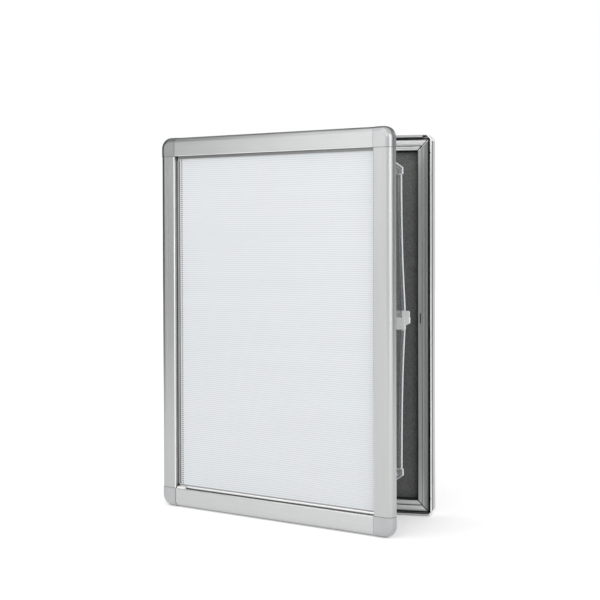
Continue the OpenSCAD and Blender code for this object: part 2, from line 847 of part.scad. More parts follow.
module cover_hinge_brackets() {
    color(white) for (z = bracket_zs) difference() {
        box([-case_w / 2 + bracket_s, case_front + bracket_front, z],
            [-case_w / 2 + bracket_tip, case_front + band_d - bracket_seat, z + bracket_h]);
        translate([cover_x, cover_y, z - cut])
            cylinder(h = bracket_h + 2 * cut, r = cover_pin_r + pin_fit, $fn = 48);
        translate([bracket_screw_x, case_front + bracket_front, z + bracket_h / 2])
            countersink(band_d + cut);
    }
}

module cover_bracket_screws() {
    color(steel) for (z = bracket_screw_zs)
        translate([bracket_screw_x, case_front + bracket_front + rivet_sink, z])
            countersunk(bracket_screw_l);
}

// The cover's outline with bevelled free corners, grown by c and extruded between two depths
module sheet_at(d0, d1, c = 0) {
    u = cover_u + c;
    b = sheet_bevel;
    translate([0, d1, 0]) rotate([90, 0, 0]) linear_extrude(d1 - d0)
        polygon([[hinge_strip_r, cover_z - c], [cover_u - b[0], cover_z - c], [u, cover_z + b[1]],
            [u, cover_top - b[1]], [cover_u - b[0], cover_top + c], [hinge_strip_r, cover_top + c]]);
}

module cover_sheet() {
    color(clear) on_cover() difference() {
        sheet_at(cover_d - cover_t / 2, cover_d + cover_t / 2);
        clip_hole();
    }
}

// Small hole through the lower clip and the sheet in it
module clip_hole() {
    translate([clip_hole_u, 0, clip_hole_z]) rotate([-90, 0, 0])
        cylinder(h = 2 * cover_d, r = clip_hole_r, $fn = 32);
}

// The slot that grips the sheet, cut from a strip
module sheet_slot(u0, u1, z0, z1) {
    box([u0, cover_d - cover_t / 2 - grip, z0], [u1, cover_d + cover_t / 2 + grip, z1]);
}

module cover_hinge_strip() {
    z0 = cover_z + hinge_strip_inset;
    z1 = cover_top - hinge_strip_inset;
    color(clear) on_cover() {
        difference() {
            union() {
                translate([0, cover_d, z0]) cylinder(h = z1 - z0, r = hinge_strip_r, $fn = 48);
                box([0, cover_d - strip_t / 2, z0], [hinge_strip_w, cover_d + strip_t / 2, z1]);
            }
            sheet_slot(hinge_strip_r - grip, hinge_strip_w + cut, z0 - cut, z1 + cut);
        }
        for (z = [z0 - pin_l, z1]) translate([0, cover_d, z])
            cylinder(h = pin_l, r = cover_pin_r, $fn = 48);
    }
}

// Clear U strip on the free edge between two heights
module edge_strip(z0, z1) {
    color(clear) on_cover() difference() {
        box([strip_end_u - edge_strip_w, cover_d - strip_t / 2, z0],
            [strip_end_u, cover_d + strip_t / 2, z1]);
        sheet_slot(0, cover_u + grip, z0 - cut, z1 + cut);
    }
}

module cover_upper_edge_strip() {
    edge_strip(tongue_z[1] + strip_gap, cover_top + clip_lap - clip_h - strip_gap);
}

module cover_lower_edge_strip() {
    edge_strip(cover_z - clip_lap + clip_h + strip_gap, tongue_z[0] - strip_gap);
}

// Clear bevelled clip round a lower corner of the sheet, as seen from the front
module corner_clip() {
    z0 = cover_z - clip_lap;
    b = clip_bevel;
    u1 = strip_end_u + clip_proud;
    translate([0, cover_d + strip_t / 2, 0]) rotate([90, 0, 0]) linear_extrude(strip_t + clip_extra_t)
        polygon([[u1 - clip_w, z0], [u1 - b[0], z0], [u1, z0 + b[1]],
            [u1, z0 + clip_h], [u1 - clip_w, z0 + clip_h]]);
}

module cover_clip_top() {
    color(clear) on_cover() difference() {
        translate([0, 0, cover_z + cover_top]) mirror([0, 0, 1]) corner_clip();
        sheet_at(cover_d - cover_t / 2 - grip, cover_d + cover_t / 2 + grip, grip);
    }
}

module cover_clip_bottom() {
    color(clear) on_cover() difference() {
        corner_clip();
        sheet_at(cover_d - cover_t / 2 - grip, cover_d + cover_t / 2 + grip, grip);
        clip_hole();
    }
}

module latch_front_plate() {
    front = cover_d - strip_t / 2;
    u1 = strip_end_u - tab_lap;
    color(white) on_cover() {
        box([u1 - latch_w, front - plate_t, plate_z[0]], [u1, front - grip, plate_z[1]]);
        box([u1 - latch_w, front - plate_t, plate_z[0]],
            [strip_end_u - edge_strip_w - seat, cover_d - cover_t / 2 - bracket_seat, plate_z[1]]);
    }
}

// Block that grips the sheet's edge, with a plate behind, a tab past the edge and a hook
module latch_tongue() {
    back = cover_d + cover_t / 2 + grip;
    front = cover_d - strip_t / 2;
    color(white) on_cover() difference() {
        union() {
            box([strip_end_u - edge_strip_w, front, tongue_z[0]],
                [strip_end_u, cover_d + strip_t / 2, tongue_z[1]]);
            box([strip_end_u - tab_lap - latch_w, back, tongue_z[0]],
                [strip_end_u - back_plate_gap, back + back_plate_t, tongue_z[1]]);
            latch_tab();
            box([hook_u - hook_t / 2, cover_d, hook_z[0]],
                [hook_u + hook_t / 2, cover_d + strip_t / 2 + hook_reach, hook_z[1]]);
        }
        sheet_slot(0, cover_u + grip, tongue_z[0] - cut, tongue_z[1] + cut);
    }
}

// Finger tab past the cover's edge, rounded above and slanted below
module latch_tab() {
    u0 = strip_end_u - tab_lap;
    u1 = strip_end_u + tab_l;
    translate([0, cover_d + strip_t / 2, 0]) rotate([90, 0, 0]) linear_extrude(strip_t) {
        difference() {
            polygon([[u0, tab_z[0]], [strip_end_u, tab_z[0]], [u1, tab_z[0] + tab_slant],
                [u1, tab_z[1]], [u0, tab_z[1]]]);
            translate([u1 - tab_round, tab_z[1] - tab_round]) difference() {
                square(tab_round + cut);
                circle(tab_round, $fn = 48);
            }
        }
    }
}

case_top_profile();
case_bottom_profile();
case_left_profile();
case_right_profile();
case_corner_keys();
back_panel();
felt_board();
felt_gasket();
upper_hinge_case_leaf();
lower_hinge_case_leaf();
upper_hinge_pin();
lower_hinge_pin();
case_hinge_rivets();
cover_hinge_brackets();
cover_bracket_screws();
door_top_profile();
door_bottom_profile();
door_left_profile();
door_right_profile();
door_corner_top_left();
door_corner_top_right();
door_corner_bottom_left();
door_corner_bottom_right();
door_corner_screws();
fluted_panel();
glazing_seal();
panel_wedge();
upper_hinge_door_leaf();
lower_hinge_door_leaf();
door_hinge_rivets();
cover_sheet();
cover_hinge_strip();
cover_upper_edge_strip();
cover_lower_edge_strip();
cover_clip_top();
cover_clip_bottom();
latch_front_plate();
latch_tongue();
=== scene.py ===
"""Dresses the poster case's frame: finishes for every part and the studio round it.

The case stands upright on its bottom edge with its door ajar. X runs across the case, the front
faces -Y and Z is up; lengths are in metres.
"""
import json
import math

import bpy
from mathutils import Matrix, Vector


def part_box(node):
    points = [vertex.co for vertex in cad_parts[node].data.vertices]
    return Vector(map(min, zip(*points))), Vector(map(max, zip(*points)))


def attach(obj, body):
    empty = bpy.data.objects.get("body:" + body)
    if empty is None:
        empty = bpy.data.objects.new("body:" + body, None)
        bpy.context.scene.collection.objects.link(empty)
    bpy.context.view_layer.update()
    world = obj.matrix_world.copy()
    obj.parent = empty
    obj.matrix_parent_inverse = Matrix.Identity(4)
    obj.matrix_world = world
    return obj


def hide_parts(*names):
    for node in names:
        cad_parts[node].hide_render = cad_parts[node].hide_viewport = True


bl_info = {
    "name": "Poster case dressing",
    "version": (1, 0, 0),
    "blender": (4, 5, 0),
    "location": "View3D > Sidebar > Poster case",
    "description": "Finishes the poster case and builds the studio round it",
    "category": "Object",
}

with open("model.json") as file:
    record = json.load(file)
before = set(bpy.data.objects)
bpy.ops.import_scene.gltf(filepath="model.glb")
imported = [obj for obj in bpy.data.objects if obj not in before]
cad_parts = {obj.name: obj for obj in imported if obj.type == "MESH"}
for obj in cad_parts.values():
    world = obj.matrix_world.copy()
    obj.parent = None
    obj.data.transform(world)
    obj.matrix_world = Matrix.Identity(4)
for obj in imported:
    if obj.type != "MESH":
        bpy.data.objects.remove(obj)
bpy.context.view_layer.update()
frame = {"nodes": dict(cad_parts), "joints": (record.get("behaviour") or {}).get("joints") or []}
nodes = frame["nodes"]
door_joint = next(j for j in frame["joints"] if j["name"] == "door_swing")
cover_joint = next(j for j in frame["joints"] if j["name"] == "cover_swing")

CASE_SIDES = ("case_left_profile", "case_right_profile")
CASE_LEVELS = ("case_top_profile", "case_bottom_profile")
DOOR_SIDES = ("door_left_profile", "door_right_profile")
DOOR_LEVELS = ("door_top_profile", "door_bottom_profile")
DOOR_CORNERS = ("door_corner_top_left", "door_corner_top_right", "door_corner_bottom_left",
                "door_corner_bottom_right")
STEEL_PARTS = ("upper_hinge_case_leaf", "lower_hinge_case_leaf",
               "upper_hinge_pin", "lower_hinge_pin", "case_hinge_rivets", "cover_bracket_screws",
               "door_corner_screws", "upper_hinge_door_leaf",
               "lower_hinge_door_leaf", "door_hinge_rivets")
SEALS = ("felt_gasket", "glazing_seal")
BOWED_PARTS = ("cover_sheet", "cover_upper_edge_strip", "cover_lower_edge_strip",
               "cover_clip_top", "cover_clip_bottom")
CLEAR_PARTS = (*BOWED_PARTS, "cover_hinge_strip")
WHITE_PARTS = ("cover_hinge_brackets", "panel_wedge", "latch_front_plate", "latch_tongue")

# The door stands at this angle from shut, so patterns along its profiles turn with it
DOOR_ANGLE = math.radians(-door_joint["range_deg"][0])
COVER_ANGLE = math.radians(-cover_joint["range_deg"][0])


# Node trees

class Finish:
    """A material being built, with its main shader and helpers that add nodes."""

    def __init__(self, name):
        self.material = bpy.data.materials.new(name)
        self.material.use_nodes = True
        self.tree = self.material.node_tree
        self.shader = self.tree.nodes["Principled BSDF"]

    def add(self, kind, **values):
        node = self.tree.nodes.new(kind)
        for name, value in values.items():
            setattr(node, name, value)
        return node

    def link(self, start, end):
        self.tree.links.new(start, end)

    def place(self, turn=0.0, stretch=(1.0, 1.0, 1.0)):
        """Object coordinates turned about Z, then stretched."""
        coordinates = self.add("ShaderNodeTexCoord")
        turned = self.add("ShaderNodeMapping")
        turned.inputs["Rotation"].default_value = (0.0, 0.0, turn)
        self.link(coordinates.outputs["Object"], turned.inputs["Vector"])
        stretched = self.add("ShaderNodeMapping")
        stretched.inputs["Scale"].default_value = stretch
        self.link(turned.outputs["Vector"], stretched.inputs["Vector"])
        return stretched.outputs["Vector"]

    def noise(self, vector, scale, detail=2.0, roughness=0.5):
        node = self.add("ShaderNodeTexNoise")
        node.inputs["Scale"].default_value = scale
        node.inputs["Detail"].default_value = detail
        node.inputs["Roughness"].default_value = roughness
        self.link(vector, node.inputs["Vector"])
        return node.outputs["Fac"]

    def spread(self, value, low, high, start=0.0, end=1.0):
        """Maps a value from start..end to low..high."""
        node = self.add("ShaderNodeMapRange")
        for name, number in (("From Min", start), ("From Max", end),
                             ("To Min", low), ("To Max", high)):
            node.inputs[name].default_value = number
        self.link(value, node.inputs["Value"])
        return node.outputs["Result"]

    def tint(self, value, dark, light, start=0.3, end=0.7):
        """Maps a value to a colour between two."""
        node = self.add("ShaderNodeValToRGB")
        low, high = node.color_ramp.elements
        low.position, low.color = start, (*dark, 1.0)
        high.position, high.color = end, (*light, 1.0)
        self.link(value, node.inputs["Fac"])
        return node.outputs["Color"]

    def near(self, value, middle, reach):
        """1 close to a value, falling to 0 on both sides at this reach."""
        away = self.maths("ABSOLUTE", self.maths("SUBTRACT", value, middle), 0.0)
        return self.spread(away, 1.0, 0.0, FULL_SHARE * reach, reach)

    def mix(self, factor, first, second, strength=1.0):
        """A colour output mixed with a plain colour."""
        node = self.add("ShaderNodeMix", data_type="RGBA")
        self.link(self.maths("MULTIPLY", factor, strength), node.inputs[0])
        self.link(first, node.inputs[6])
        node.inputs[7].default_value = (*second, 1.0)
        return node.outputs[2]

    def axes(self, turn=0.0):
        """Object coordinates turned about Z, as three values."""
        node = self.add("ShaderNodeSeparateXYZ")
        self.link(self.place(turn), node.inputs["Vector"])
        return node.outputs["X"], node.outputs["Y"], node.outputs["Z"]

    def inset(self, value, low, high):
        """Distance of a value from the nearer of two limits, inwards."""
        away = self.maths("ABSOLUTE", self.maths("SUBTRACT", value, (low + high) / 2), 0.0)
        return self.maths("SUBTRACT", (high - low) / 2, away)

    def both(self, first, second):
        return self.maths("MINIMUM", first, second)

    def either(self, first, second):
        return self.maths("MAXIMUM", first, second)

    def blend(self, first, second, share):
        """This share of the first value and the rest of the second."""
        return self.maths("ADD", self.maths("MULTIPLY", first, share),
                          self.maths("MULTIPLY", second, 1.0 - share))

    def top_half(self, up):
        """0 in the lower half of the case's height and 1 in the upper one."""
        return self.spread(up, 0.0, 1.0, *MIDDLE)

    def foot_half(self, up):
        """1 in the lower half of the case's height and 0 in the upper one."""
        return self.spread(up, 1.0, 0.0, *MIDDLE)

    def groove(self, reach):
        """Mask for painted shade: 0 on open surfaces, towards 1 in grooves and corners
        narrower than this reach.
        """
        node = self.add("ShaderNodeAmbientOcclusion", samples=8)
        node.inputs["Distance"].default_value = reach
        return self.spread(node.outputs["AO"], 1.0, 0.0, 0.2, 0.9)

    def maths(self, operation, first, second):
        node = self.add("ShaderNodeMath", operation=operation)
        for socket, value in zip(node.inputs, (first, second)):
            if isinstance(value, (int, float)):
                socket.default_value = value
            else:
                self.link(value, socket)
        return node.outputs["Value"]

    def bump(self, height, strength, distance):
        node = self.add("ShaderNodeBump")
        node.inputs["Strength"].default_value = strength
        node.inputs["Distance"].default_value = distance
        self.link(height, node.inputs["Height"])
        self.link(node.outputs["Normal"], self.shader.inputs["Normal"])

    def set(self, **values):
        """Sets plain values on the shader's own sockets."""
        for name, value in values.items():
            self.shader.inputs[name.replace("_", " ")].default_value = value

    def colour(self, output):
        self.link(output, self.shader.inputs["Base Color"])

    def rough(self, output):
        self.link(output, self.shader.inputs["Roughness"])


def dress(names, material):
    """Gives CAD nodes one material."""
    for name in names:
        node = nodes[name]
        node.data.materials.clear()
        node.data.materials.append(material)


def grey(value):
    return (value, value, value)


def shade(colour, factor):
    return tuple(channel * factor for channel in colour)


# Finishes

# Colours of painted shade in grooves and corners and of dark joints, and of painted highlights
# and of metal sawn bare
DARK = (0.012, 0.012, 0.012)
HIGHLIGHT_AND_BARE = (0.97, 0.97, 0.96)

# For upright and level profiles: where the painted shade on the case's shoulder ends, how strong
# it is, how strong the painted highlight on its rim and the painted shade at its outer corner are,
# and the height of the die lines
SHOULDER_END = (0.0122, 0.009)
SHOULDER_SHARE = (1.0, 0.75)
RIM_SHARE = (1.0, 0.45)
CORNER_SHARE = (1.0, 0.6)
LINE_HEIGHT = (0.0003, 0.0005)

# Heights between which the painted light and shade and the mitres' joints change from those at the
# foot to those at the top, and those over which metal that stands on the floor gets its painted
# groove shade back
MIDDLE = (0.2, 0.3)
OVER_FLOOR = (0.001, 0.005)

# Share of a mark's reach over which it is full
FULL_SHARE = 0.45

# Painted light and shade on the door, from its outer side inwards or from its front back:
# highlights on the inner front edge and the lower lip, shade in the upper reveal, on the ledge
# and along the sole. Both of the edge and the first of the ledge are a middle and a reach, the
# others a start and an end.
DOOR_EDGE, DOOR_EDGE_DEPTH = (0.0236, 0.0007), (0.0004, 0.0018)
DOOR_REVEAL = (0.0237, 0.0242)
DOOR_LEDGE, DOOR_LEDGE_DEPTH = (0.024, 0.0008), (0.001, 0.0015)
DOOR_LIP = (0.0247, 0.0251)
DOOR_SOLE = (0.0005, 0.002)
REVEAL_DARK, LEDGE_DARK, SOLE_DARK = 0.6, 0.6, 0.8
SEAM_REACH = 0.0009

# Painted light and shade on the case, in the same way: a highlight on the rim, shade at the outer
# corner and on the shoulder, and highlights on the mitres' edges beside their dark joints. Rim,
# corner and mitre give a middle and a reach.
RIM, RIM_DEPTH = (0.0012, 0.0035), (0.0, 0.0022)
CORNER, CORNER_DEPTH = (0.0, 0.0009), (0.0, 0.004)
SHOULDER_START, SHOULDER_DEPTH = 0.0052, (0.0045, 0.0055)
MITRE_JOINT, MITRE_EDGE = (0.0, 0.0011), (0.0005, 0.001)

# Painted shade on the panel: the reach of the dots in the flutes' ends, the middle and reach of
# the lip's painted shadow at the left and at the foot, how dark both are, and their colour
DOT_REACH = 0.0014
LEFT_SHADOW, FOOT_SHADOW = (0.0028, 0.0008), (0.003, 0.001)
DOT_DARK, SHADOW_DARK = 0.95, 0.6
PANEL_DARK = (0.05, 0.055, 0.055)


def extruded_aluminium(name, settings, level, turn, light_tone, marks, reach):
    """Satin anodised aluminium: die lines, painted groove shade and painted light and joints at
    its edges.
    """
    finish = Finish(name)
    along, across = 6.0, 900.0
    stretch = (along, across, across) if level else (across, across, along)
    lines = finish.noise(finish.place(turn, stretch), 1.0, 3.0, 0.6)
    cloud = finish.noise(finish.place(turn), 9.0, 2.0, 0.5)
    # The light tone paints the level profiles lighter than the upright ones, for how light falls
    # on them
    base = shade(settings.colour, light_tone)
    colour = finish.tint(finish.blend(lines, cloud, 0.7), shade(base, 1.0 - settings.streaks),
                         shade(base, 1.0 + settings.streaks))
    colour = marks(finish, settings, colour, level)
    # Painted shade in grooves; the floor isn't a groove, so the metal just above it gets none
    over_floor = finish.spread(finish.axes()[2], 0.0, 1.0, *OVER_FLOOR)
    shaded = finish.maths("MULTIPLY", finish.groove(reach), over_floor)
    finish.colour(finish.mix(shaded, colour, DARK, settings.groove_shade))
    finish.rough(finish.spread(lines, settings.roughness - 0.06, settings.roughness + 0.06))
    finish.bump(lines, settings.line_depth, LINE_HEIGHT[level])
    finish.set(Metallic=1.0)
    return finish.material


def door_light_and_seams(finish, settings, colour, level):
    """Painted light and shade along the door's edges and thin dark seams at its corner pieces."""
    across, back, up = finish.axes(DOOR_ANGLE)
    low, high = door_limits()
    from_side = finish.inset(across, low.x, high.x)
    from_end = finish.inset(up, low.z, high.z)
    inwards, along = (from_end, from_side) if level else (from_side, from_end)
    depth = finish.maths("SUBTRACT", back, low.y)
    if level:
        # Painted shade in the upper reveal; at the foot a painted highlight on the lip over
        # painted shade on the ledge, and a painted shadow along the sole
        reveal = finish.both(finish.spread(inwards, 0.0, REVEAL_DARK, *DOOR_REVEAL),
                             finish.top_half(up))
        foot = finish.foot_half(up)
        lip = finish.both(finish.spread(inwards, 0.0, 1.0, *DOOR_LIP), foot)
        colour = finish.mix(lip, colour, HIGHLIGHT_AND_BARE)
        ledge = finish.both(finish.both(finish.near(inwards, *DOOR_LEDGE), foot),
                            finish.spread(depth, 0.0, LEDGE_DARK, *DOOR_LEDGE_DEPTH))
        sole = finish.both(finish.spread(inwards, SOLE_DARK, 0.0, *DOOR_SOLE), foot)
        colour = finish.mix(finish.either(finish.either(reveal, ledge), sole), colour, DARK)
    # A painted highlight along the inner front edge
    edge = finish.both(finish.near(inwards, *DOOR_EDGE), finish.near(depth, *DOOR_EDGE_DEPTH))
    colour = finish.mix(edge, colour, HIGHLIGHT_AND_BARE, settings.edge_highlight)
    corner_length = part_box("door_left_profile")[0].z - low.z
    seam = finish.near(along, corner_length, SEAM_REACH)
    return finish.mix(seam, colour, DARK, settings.seam_dark)


def case_light_and_mitres(finish, settings, colour, level):
    """Painted highlights on the case's rim and mitre edges, painted shade at its outer corner
    and shoulder, and dark mitre joints.
    """
    across, back, up = finish.axes()
    low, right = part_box("case_left_profile")[0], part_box("case_right_profile")[1]
    foot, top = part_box("case_bottom_profile")[0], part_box("case_top_profile")[1]
    from_side = finish.inset(across, low.x, right.x)
    from_end = finish.inset(up, foot.z, top.z)
    inwards, along = (from_end, from_side) if level else (from_side, from_end)
    depth = finish.maths("SUBTRACT", back, low.y)
    # Painted shade on the shoulder beside the gutter
    shoulder = finish.maths(
        "MULTIPLY", finish.spread(inwards, 1.0, 0.0, SHOULDER_START, SHOULDER_END[level]),
        finish.spread(depth, 1.0, 0.0, *SHOULDER_DEPTH))
    colour = finish.mix(shoulder, colour, DARK, settings.shoulder_shade * SHOULDER_SHARE[level])
    # A painted highlight on the rim
    rim = finish.both(finish.near(inwards, *RIM), finish.near(depth, *RIM_DEPTH))
    colour = finish.mix(rim, colour, HIGHLIGHT_AND_BARE, settings.edge_highlight * RIM_SHARE[level])
    # Painted shade at the outer corner
    corner = finish.both(finish.near(inwards, *CORNER), finish.near(depth, *CORNER_DEPTH))
    colour = finish.mix(corner, colour, DARK, settings.groove_shade * CORNER_SHARE[level])
    # The mitres are dark joints with painted shade in their gaps; the sides' edges at the upper
    # two get a painted highlight where they catch the light
    cut = finish.maths("SUBTRACT", along, inwards)
    joint = finish.near(cut, *MITRE_JOINT)
    if not level:
        joint = finish.both(joint, finish.foot_half(up))
        bright = finish.both(finish.near(cut, *MITRE_EDGE), finish.top_half(up))
        colour = finish.mix(bright, colour, HIGHLIGHT_AND_BARE, settings.edge_highlight)
    return finish.mix(joint, colour, DARK, settings.groove_shade)


def shut_corners(*names):
    """The mesh corners of the door's pieces, with the door turned back to shut."""
    turned = Matrix.Rotation(DOOR_ANGLE, 3, "Z")
    return [turned @ corner.co for name in names for corner in nodes[name].data.vertices]


def door_limits():
    """The door frame's lowest and highest corners, with the door turned back to shut."""
    corners = shut_corners(*DOOR_SIDES)
    top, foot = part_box("door_top_profile")[1].z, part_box("door_bottom_profile")[0].z
    return (Vector((min(c.x for c in corners), min(c.y for c in corners), foot)),
            Vector((max(c.x for c in corners), max(c.y for c in corners), top)))


def corner_plastic(settings):
    """Silver-grey moulded plastic, fine spark-eroded grain, and a painted shadow where it stands.
    """
    finish = Finish("moulded_corner_grey")
    spot = finish.place()
    grain = finish.noise(spot, 2600.0, 2.0, 0.6)
    cloud = finish.noise(spot, 60.0, 2.0, 0.5)
    base = settings.colour
    colour = finish.tint(cloud, shade(base, 0.96), shade(base, 1.04))
    # A painted shadow along the foot, where it stands on the floor
    sole = finish.spread(finish.axes()[2], SOLE_DARK, 0.0, *DOOR_SOLE)
    finish.colour(finish.mix(sole, colour, DARK))
    finish.rough(finish.spread(grain, settings.roughness - 0.05, settings.roughness + 0.05))
    finish.bump(grain, 0.15, 0.00005)
    finish.set(Metallic=0.95)
    return finish.material


def twin_wall_white(settings, middle, left_edge, foot):
    """White translucent twin-wall sheet: each web behind the skin shows as a faint line.

    The shade in the flutes' ends is painted as dark dots beside the left lip, and the lip's shadow
    as a painted dark line.
    """
    finish = Finish("twin_wall_white")
    across, _, up = finish.axes(DOOR_ANGLE)
    turns = finish.maths("MULTIPLY", finish.maths("SUBTRACT", up, middle),
                         2.0 * math.pi / settings.pitch)
    wave = finish.maths("COSINE", turns, 0.0)
    band = finish.spread(wave, 0.0, 1.0, -1.0, 1.0)
    inward = finish.maths("SUBTRACT", across, left_edge)
    cloud = finish.noise(finish.place(DOOR_ANGLE, (4.0, 4.0, 60.0)), 1.0, 3.0, 0.5)
    base = settings.colour
    lines = finish.tint(finish.blend(band, cloud, 0.75), shade(base, 1.0 - settings.web_contrast),
                        base, 0.1, 0.9)
    # Painted shade: dark dots in the flutes' ends by the left lip, and the lip's painted shadow
    dots = finish.maths("MULTIPLY", finish.near(inward, settings.dot_inset, DOT_REACH),
                        finish.spread(band, 1.0, 0.0, 0.35, 0.65))
    lip_shadow = finish.either(finish.near(inward, *LEFT_SHADOW),
                               finish.near(finish.maths("SUBTRACT", up, foot), *FOOT_SHADOW))
    dark = finish.either(finish.maths("MULTIPLY", dots, DOT_DARK),
                         finish.maths("MULTIPLY", lip_shadow, SHADOW_DARK))
    finish.colour(finish.mix(dark, lines, PANEL_DARK))
    finish.rough(finish.spread(cloud, 0.28, 0.4))
    finish.bump(band, 0.25, 0.00006)
    finish.set(Subsurface_Weight=0.15, Subsurface_Scale=0.002)
    return finish.material


def speckled_felt(settings):
    """Dark grey pressed felt with paler and darker fibres."""
    finish = Finish("speckled_felt")
    spot = finish.place()
    fibres = finish.noise(spot, 1800.0, 4.0, 0.75)
    tufts = finish.noise(spot, 750.0, 2.0, 0.7)
    mixed = finish.blend(fibres, tufts, 0.6)
    base = settings.colour
    colour = finish.tint(mixed, shade(base, 0.4), shade(base, 1.8), 0.36, 0.66)
    # Painted shade on the felt towards the edges of its recess
    finish.colour(finish.mix(finish.groove(0.015), colour, DARK))
    finish.bump(mixed, 0.7, 0.0006)
    finish.set(Roughness=0.95, Sheen_Weight=0.25, Sheen_Roughness=0.5, Specular_IOR_Level=0.2)
    return finish.material


def zinc_steel(settings):
    """Zinc-plated pressed steel, cloudy and a little worn."""
    finish = Finish("zinc_steel")
    spot = finish.place()
    cloud = finish.noise(spot, 120.0, 4.0, 0.6)
    grain = finish.noise(spot, 1800.0, 2.0, 0.5)
    base = settings.colour
    finish.colour(finish.tint(cloud, shade(base, 0.8), shade(base, 1.15)))
    finish.rough(finish.spread(cloud, 0.28, 0.5))
    finish.bump(grain, 0.1, 0.00004)
    finish.set(Metallic=1.0)
    return finish.material


def sawn_aluminium():
    """Bright bare aluminium with saw marks and painted shade down in the gaps round it."""
    finish = Finish("sawn_aluminium")
    spot = finish.place()
    cuts = finish.noise(finish.place(0.0, (900.0, 900.0, 300.0)), 1.0, 2.0, 0.6)
    colour = finish.tint(finish.noise(spot, 300.0, 3.0, 0.6), shade(HIGHLIGHT_AND_BARE, 0.86), HIGHLIGHT_AND_BARE)
    # Painted shade down in the gaps round the key
    finish.colour(finish.mix(finish.groove(0.003), colour, DARK))
    finish.rough(finish.spread(cuts, 0.35, 0.55))
    finish.bump(cuts, 0.3, 0.00005)
    finish.set(Metallic=1.0)
    return finish.material


def rolled_sheet(settings):
    """Plain aluminium sheet with a faint rolling grain."""
    finish = Finish("rolled_back_sheet")
    grain = finish.noise(finish.place(0.0, (8.0, 700.0, 700.0)), 1.0, 3.0, 0.55)
    cloud = finish.noise(finish.place(), 14.0, 3.0, 0.5)
    base = settings.colour
    finish.colour(finish.tint(cloud, shade(base, 0.92), shade(base, 1.05)))
    finish.rough(finish.spread(grain, 0.38, 0.55))
    finish.bump(grain, 0.1, 0.00005)
    finish.set(Metallic=1.0)
    return finish.material


def black_rubber():
    """Matt black sealing rubber with a dusty bloom."""
    finish = Finish("black_rubber")
    spot = finish.place()
    dust = finish.noise(spot, 240.0, 4.0, 0.6)
    finish.colour(finish.tint(dust, grey(0.008), grey(0.022), 0.3, 0.75))
    finish.rough(finish.spread(dust, 0.6, 0.85))
    finish.bump(finish.noise(spot, 2200.0), 0.2, 0.00005)
    finish.set(Specular_IOR_Level=0.3)
    return finish.material


def clear_plastic():
    """Clear extruded plastic with faint draw lines."""
    finish = Finish("clear_plastic")
    lines = finish.noise(finish.place(COVER_ANGLE, (500.0, 500.0, 5.0)), 1.0, 2.0, 0.5)
    cloud = finish.noise(finish.place(), 40.0, 2.0, 0.5)
    finish.colour(finish.tint(cloud, (0.93, 0.95, 0.97), (0.98, 0.99, 1.0)))
    finish.rough(finish.spread(lines, 0.02, 0.07))
    finish.bump(lines, 0.05, 0.00004)
    finish.set(Transmission_Weight=0.96, IOR=1.49)
    return finish.material


def frosted_clip():
    """Clear moulded plastic, hazy and a little white with handling."""
    finish = Finish("frosted_clip")
    spot = finish.place()
    haze = finish.noise(spot, 260.0, 3.0, 0.6)
    finish.colour(finish.tint(haze, (0.78, 0.82, 0.86), (0.96, 0.97, 0.98)))
    finish.rough(finish.spread(haze, 0.12, 0.4, 0.35, 0.65))
    finish.bump(haze, 0.2, 0.0001)
    finish.set(Transmission_Weight=0.8, IOR=1.49)
    return finish.material


def clear_plastic_edge():
    """The sawn edge of clear plastic, frosted, with the light it gathers painted in as white."""
    finish = Finish("clear_plastic_edge")
    marks = finish.noise(finish.place(COVER_ANGLE, (900.0, 900.0, 250.0)), 1.0, 2.0, 0.5)
    # Painted light: the edge's white colour stands in for the light it gathers
    finish.colour(finish.tint(marks, (0.84, 0.86, 0.88), (0.95, 0.96, 0.97)))
    finish.rough(finish.spread(marks, 0.2, 0.4))
    finish.bump(marks, 0.2, 0.00005)
    finish.set(Subsurface_Weight=0.2, Subsurface_Scale=0.002)
    return finish.material


def white_moulding():
    """White moulded plastic, slightly glossy."""
    finish = Finish("white_moulding")
    spot = finish.place()
    cloud = finish.noise(spot, 90.0, 3.0, 0.5)
    finish.colour(finish.tint(cloud, grey(0.86), grey(0.92)))
    finish.rough(finish.spread(finish.noise(spot, 1500.0), 0.3, 0.45))
    finish.bump(finish.noise(spot, 1500.0), 0.08, 0.00004)
    return finish.material


# Settings

# Pixels across and down the picture that the camera was fitted to
PICTURE_SIZE = 600


